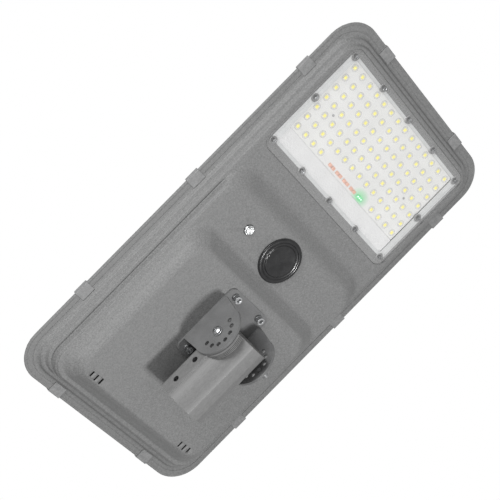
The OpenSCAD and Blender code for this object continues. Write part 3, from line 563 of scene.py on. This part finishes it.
def carve(piece, cutter, operation="DIFFERENCE"):
    """Cuts one bmesh shape out of a piece, or joins it on, and throws the cutter away."""
    mesh = bpy.data.meshes.new("cutter")
    cutter.to_mesh(mesh)
    cutter.free()
    tool = bpy.data.objects.new("cutter", mesh)
    bpy.context.scene.collection.objects.link(tool)
    cut = piece.modifiers.new("cut", "BOOLEAN")
    cut.operation = operation
    cut.solver = "EXACT"
    cut.object = tool
    bpy.context.view_layer.update()
    done = bpy.data.meshes.new_from_object(piece.evaluated_get(bpy.context.evaluated_depsgraph_get()))
    piece.modifiers.remove(cut)
    piece.data = done
    bpy.data.objects.remove(tool)


def slab(x0, x1, half_width, radius, z0, z1, steps=8):
    """A closed block with a rounded-rectangle plan, from z0 up to z1."""
    shape = bmesh.new()
    low = plan(shape, x0, x1, half_width, radius, z0, steps)
    floor_face = bmesh.ops.contextual_create(shape, geom=low)["faces"]
    up = bmesh.ops.extrude_face_region(shape, geom=floor_face)["geom"]
    top = [part for part in up if isinstance(part, bmesh.types.BMVert)]
    bmesh.ops.translate(shape, vec=(0, 0, (z1 - z0) * MM), verts=top)
    bmesh.ops.recalc_face_normals(shape, faces=shape.faces)
    return shape


def taken_back(piece):
    """Turns a piece that only helps to build another back into a bmesh."""
    shape = bmesh.new()
    shape.from_mesh(piece.data)
    bpy.data.objects.remove(piece)
    return shape


def studs(spots, radius, z0, z1, steps=28):
    """Upright cylinders, used as cutters or bosses."""
    shape = bmesh.new()
    for x, y in spots:
        made = bmesh.ops.create_cone(shape, cap_ends=True, segments=steps, radius1=radius * MM,
                                     radius2=radius * MM, depth=(z1 - z0) * MM)["verts"]
        bmesh.ops.translate(shape, vec=Vector((x, y, (z0 + z1) / 2)) * MM, verts=made)
    return shape


clear_plastic = finish("clear lens plastic", (0.80, 0.80, 0.80), (0.86, 0.86, 0.86), (0.05, 0.10),
                       grain_mm=1.5, relief_mm=0.004, cloud_mm=60.0)
clear_edge(clear_plastic, 0.25, 0.02, 0.55)
clear_plastic.node_tree.nodes["Principled BSDF"].inputs["Specular IOR Level"].default_value = 0.7
cover = make_piece("lens_cover_moulding", slab(299.9, 466.6, 141.1, 13.6, 71.2, 73.08), clear_plastic, "head",
                   ("lens_cover",), crease=40)
pane = make_piece("pane", slab(306.5, 463.0, 135.5, 8.0, 69.4, 72.4), clear_plastic, "head")
carve(pane, studs(lens_screws, 7.6, 68.0, 74.0))
carve(cover, taken_back(pane), "UNION")
carve(cover, slab(309.0, 460.5, 133.0, 6.5, 71.5, 74.0))
carve(cover, studs(lens_screws, 1.8, 68.0, 74.0, 16))
posts = make_piece("posts", studs(lens_screws, 6.6, 70.4, 73.0), clear_plastic, "head")
carve(cover, taken_back(posts), "UNION")
carve(cover, studs(lens_screws, 1.8, 68.0, 74.0, 16))
round_edges(cover, 0.45, 2, 40)
softened("lens_screws", bright_zinc, "head", 0.3, segments=3)
make_piece("lens_screw_bosses", studs(lens_screws, 5.9, 73.13, 74.1), moulded_grey, "head")
white_silicone = finish("white silicone", (0.60, 0.61, 0.61), (0.70, 0.71, 0.71), (0.45, 0.6), grain_mm=0.8,
                        cloud_mm=10.0)
lens_seal = make_piece("lens_gasket_ring", slab(311.5, 458.0, 136.5, 6.0, 73.2, 74.0), white_silicone, "head",
                       ("lens_gasket",))
carve(lens_seal, slab(316.0, 454.0, 126.0, 4.0, 72.0, 75.0))

# ---- Motion sensor cover ----
# A round black cap over the motion sensor, with a finely ribbed side, a bevelled outer ring and a slightly
# crowned inner disc. Satin injection-moulded plastic on a rubber ring.

cap_profile = [(0.0, 2.62), (10.0, 2.68), (18.0, 2.78), (20.4, 2.96), (21.3, 3.0), (21.9, 2.86), (22.2, 2.45),
               (22.5, 1.75), (23.1, 1.55), (25.4, 1.65), (25.9, 1.9), (26.3, 2.55), (26.8, 2.92), (27.6, 3.0),
               (29.4, 3.0), (30.2, 2.8), (31.2, 1.9), (31.4, 1.5), (31.4, 0.5), (31.2, 0.0), (26.0, 0.0),
               (26.0, -6.0), (24.2, -6.0), (24.2, 0.6), (0.0, 0.9)]
cap_black = finish("satin black plastic", (0.011, 0.011, 0.012), (0.022, 0.022, 0.023), (0.20, 0.30),
                   grain_mm=0.7, relief_mm=0.008, cloud_mm=10.0, coat=0.3)
cover_x = 212.52
cap = turned(bmesh.new(), cap_profile, cover_x, 0.0, sensor_face, steps=120)
make_piece("sensor_cover_cap", cap, cap_black, "head", ("sensor_cover",), crease=50)
rib_count = 90
knurl = bmesh.new()
for k in range(rib_count):
    around = block(knurl, (0.55, 1.05, 1.5), (31.35, 0, -1.1))
    bmesh.ops.rotate(knurl, cent=(0, 0, 0), verts=around,
                     matrix=Matrix.Rotation(2 * pi * k / rib_count, 3, "Z"))
bmesh.ops.translate(knurl, vec=Vector((cover_x, 0.0, sensor_face)) * MM, verts=knurl.verts)
make_piece("sensor_cover_ribs", knurl, cap_black, "head")

# ---- Push switch ----
# A small stainless push switch: a bevelled bezel, a dark gap and a lathe-turned cap that presses in.

turned_steel = finish("lathe-turned steel", (0.40, 0.41, 0.41), (0.66, 0.67, 0.67), (0.26, 0.38),
                      grain_mm=0.4, cloud_mm=5.0, metal=1.0)
tree = turned_steel.node_tree
centre = tree.nodes.new("ShaderNodeMapping")
centre.vector_type = "TEXTURE"
centre.inputs["Location"].default_value = Vector((cover_x, switch_y, 0.0)) * MM
cuts = tree.nodes.new("ShaderNodeTexWave")
cuts.wave_type = "RINGS"
cuts.rings_direction = "Z"
cuts.inputs["Scale"].default_value = 900.0
cuts.inputs["Distortion"].default_value = 0.4
tree.links.new(tree.nodes["Texture Coordinate"].outputs["Object"], centre.inputs["Vector"])
tree.links.new(centre.outputs["Vector"], cuts.inputs["Vector"])
tree.links.new(cuts.outputs["Fac"], tree.nodes["Bump"].inputs["Height"])
tree.nodes["Bump"].inputs["Distance"].default_value = 0.00004
bezel = turned(bmesh.new(), [(6.85, 0.6), (6.85, 1.2), (6.5, 1.75), (6.1, 2.0), (5.2, 2.0), (4.95, 1.8),
                             (4.9, 1.3), (5.7, 0.9), (5.7, -11.0), (5.95, -11.0), (5.95, 0.6), (6.85, 0.6)],
               cover_x, switch_y, sensor_face, steps=64)
make_piece("switch_bezel", bezel, turned_steel, "head", ("switch_body",), crease=40)
push = turned(bmesh.new(), [(0.0, 2.72), (1.0, 2.75), (3.4, 2.86), (4.1, 2.9), (4.55, 2.7), (4.7, 2.3),
                            (4.7, 0.5), (5.3, 0.5), (5.3, -1.9), (0.0, -1.9)], cover_x, switch_y, sensor_face,
              steps=64)
make_piece("switch_cap", push, turned_steel, "button", ("button_cap",), crease=40)

# ---- Battery, controller and the rest inside ----
# Wrapped cells in black combs with nickel links, a green controller board and red leads, all sealed inside
# the head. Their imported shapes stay, each with its own finish.

wrap_blue = finish("cell wrap", (0.01, 0.045, 0.16), (0.02, 0.075, 0.24), (0.22, 0.34), grain_mm=1.0,
                   relief_mm=0.01, cloud_mm=20.0, coat=0.2)
board_green = finish("green solder mask", (0.008, 0.075, 0.03), (0.018, 0.13, 0.055), (0.3, 0.42),
                     grain_mm=0.6, cloud_mm=6.0, coat=0.2)
lead_red = finish("red lead insulation", (0.30, 0.02, 0.015), (0.42, 0.035, 0.025), (0.35, 0.5), grain_mm=0.8,
                  cloud_mm=8.0)
plain_aluminium = finish("plain aluminium", (0.50, 0.51, 0.52), (0.66, 0.67, 0.68), (0.3, 0.45), grain_mm=0.9,
                         relief_mm=0.02, cloud_mm=25.0, metal=1.0)
breather = finish("breather membrane", (0.018, 0.018, 0.019), (0.035, 0.035, 0.036), (0.7, 0.85),
                  grain_mm=0.3, relief_mm=0.05, cloud_mm=3.0)
for material, nodes in (
    (black_rubber, ("rim_gasket", "glass_gasket", "sensor_seal", "switch_seal")),
    (breather, ("vent_membranes",)),
    (cell_blue, ("solar_cells",)),
    (sheet_white, ("backsheet",)),
    (panel_glass, ("solar_glass",)),
    (board_white, ("led_board",)),
    (frosted, ("diffuser_strip",)),
    (plain_aluminium, ("heat_sink", "cell_links")),
    (dull_zinc, ("board_screws",)),
    (bright_zinc, ("switch_nut",)),
    (board_green, ("sensor_board", "controller_board")),
    (wrap_blue, ("battery_cells",)),
    (black_moulding, ("junction_box", "battery_cradles", "battery_clamps")),
    (black_moulding, ("controller_parts", "board_posts")),
    (lead_red, ("inner_leads",)),
):
    for node in nodes:
        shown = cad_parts[node]
        shown.data.materials.clear()
        shown.data.materials.append(material)

# ---- Floor, light and camera ----
# A pale floor well below the lamp, one soft key light under the lamp's far side, a weak fill from the near
# side and an even white surround. The camera looks up at the lamp's underside.

floor_size, floor_z = 30.0, -2.6
ground = bmesh.new()
bmesh.ops.create_grid(ground, x_segments=1, y_segments=1, size=floor_size)
bmesh.ops.translate(ground, vec=(0.0, 0.0, floor_z), verts=ground.verts)
floor_mesh = bpy.data.meshes.new("floor")
ground.to_mesh(floor_mesh)
ground.free()
pale = finish("pale floor", (0.80, 0.80, 0.80), (0.86, 0.86, 0.86), (0.8, 0.9), grain_mm=20.0, relief_mm=0.1,
              cloud_mm=900.0)
floor_mesh.materials.append(pale)
floor = bpy.data.objects.new("floor", floor_mesh)
bpy.context.scene.collection.objects.link(floor)
floor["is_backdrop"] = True


def area_light(name, place, aim, width, height, watts):
    """A rectangular lamp at a place, turned to face the point it is aimed at."""
    lamp = bpy.data.lights.new(name, "AREA")
    lamp.shape = "RECTANGLE"
    lamp.size = width
    lamp.size_y = height
    lamp.energy = watts
    holder = bpy.data.objects.new(name, lamp)
    away = Vector(place) - Vector(aim)
    holder.matrix_world = Matrix.Translation(place) @ away.to_track_quat("Z", "Y").to_matrix().to_4x4()
    bpy.context.scene.collection.objects.link(holder)


lamp_middle = (0.20, 0.0, 0.07)
area_light("key", (0.02, 0.50, -1.81), lamp_middle, 0.24, 0.24, 20.0)
area_light("fill", (0.35, -1.9, -0.35), lamp_middle, 1.2, 0.7, 31.0)

surround = bpy.data.worlds.new("surround")
bpy.context.scene.world = surround
surround.use_nodes = True
sky = surround.node_tree.nodes["Background"]
sky.inputs["Color"].default_value = (1.0, 1.0, 1.0, 1.0)
seen = surround.node_tree.nodes.new("ShaderNodeLightPath")
level = surround.node_tree.nodes.new("ShaderNodeMapRange")
level.inputs["To Min"].default_value = 0.42
level.inputs["To Max"].default_value = 1.0
surround.node_tree.links.new(seen.outputs["Is Camera Ray"], level.inputs["Value"])
surround.node_tree.links.new(level.outputs["Result"], sky.inputs["Strength"])

eye = bpy.data.cameras.new("camera")
eye.sensor_width = 36.0
eye.lens = 100.5
eye.clip_end = 60.0
camera = bpy.data.objects.new("camera", eye)
right = Vector((0.7021, 0.5551, -0.4461)).normalized()
up = Vector((0.7121, -0.5517, 0.4342))
up = (up - up.dot(right) * right).normalized()
back = right.cross(up)
turn = Matrix((right, up, back)).transposed().to_4x4()
camera.matrix_world = Matrix.Translation((0.1868, -1.1377, -1.3124)) @ turn
bpy.context.scene.collection.objects.link(camera)
bpy.context.scene.camera = camera
bpy.context.scene.view_settings.view_transform = "Standard"

size = {"cad": [list(corner) for corner in cad_box], "visual": [list(corner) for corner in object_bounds()]}
